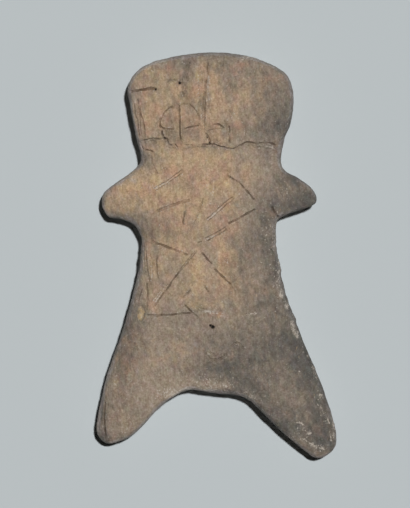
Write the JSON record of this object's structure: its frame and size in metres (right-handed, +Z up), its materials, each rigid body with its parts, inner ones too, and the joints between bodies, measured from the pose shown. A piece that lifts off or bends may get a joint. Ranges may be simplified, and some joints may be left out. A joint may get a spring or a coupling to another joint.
{
  "type": "terracotta figurine",
  "caption": "Small flat human figure of fired clay with a wide head, stub arms and spread legs, its face and body marked with incised lines.",
  "frame": {"origin": "on the surface the figure lies on, under the middle of its outline", "axes": "+Y from the feet to the crown of the head, +Z up out of the face, +X to the viewer's right when looking down at the face"},
  "size_m": [0.0592, 0.1, 0.0133],
  "materials": {
    "fired_clay": "matte, unglazed, worn and partly smoke-darkened"
  },
  "bodies": {
    "root": {"figurine": "fired_clay"}
  },
  "joints": []
}
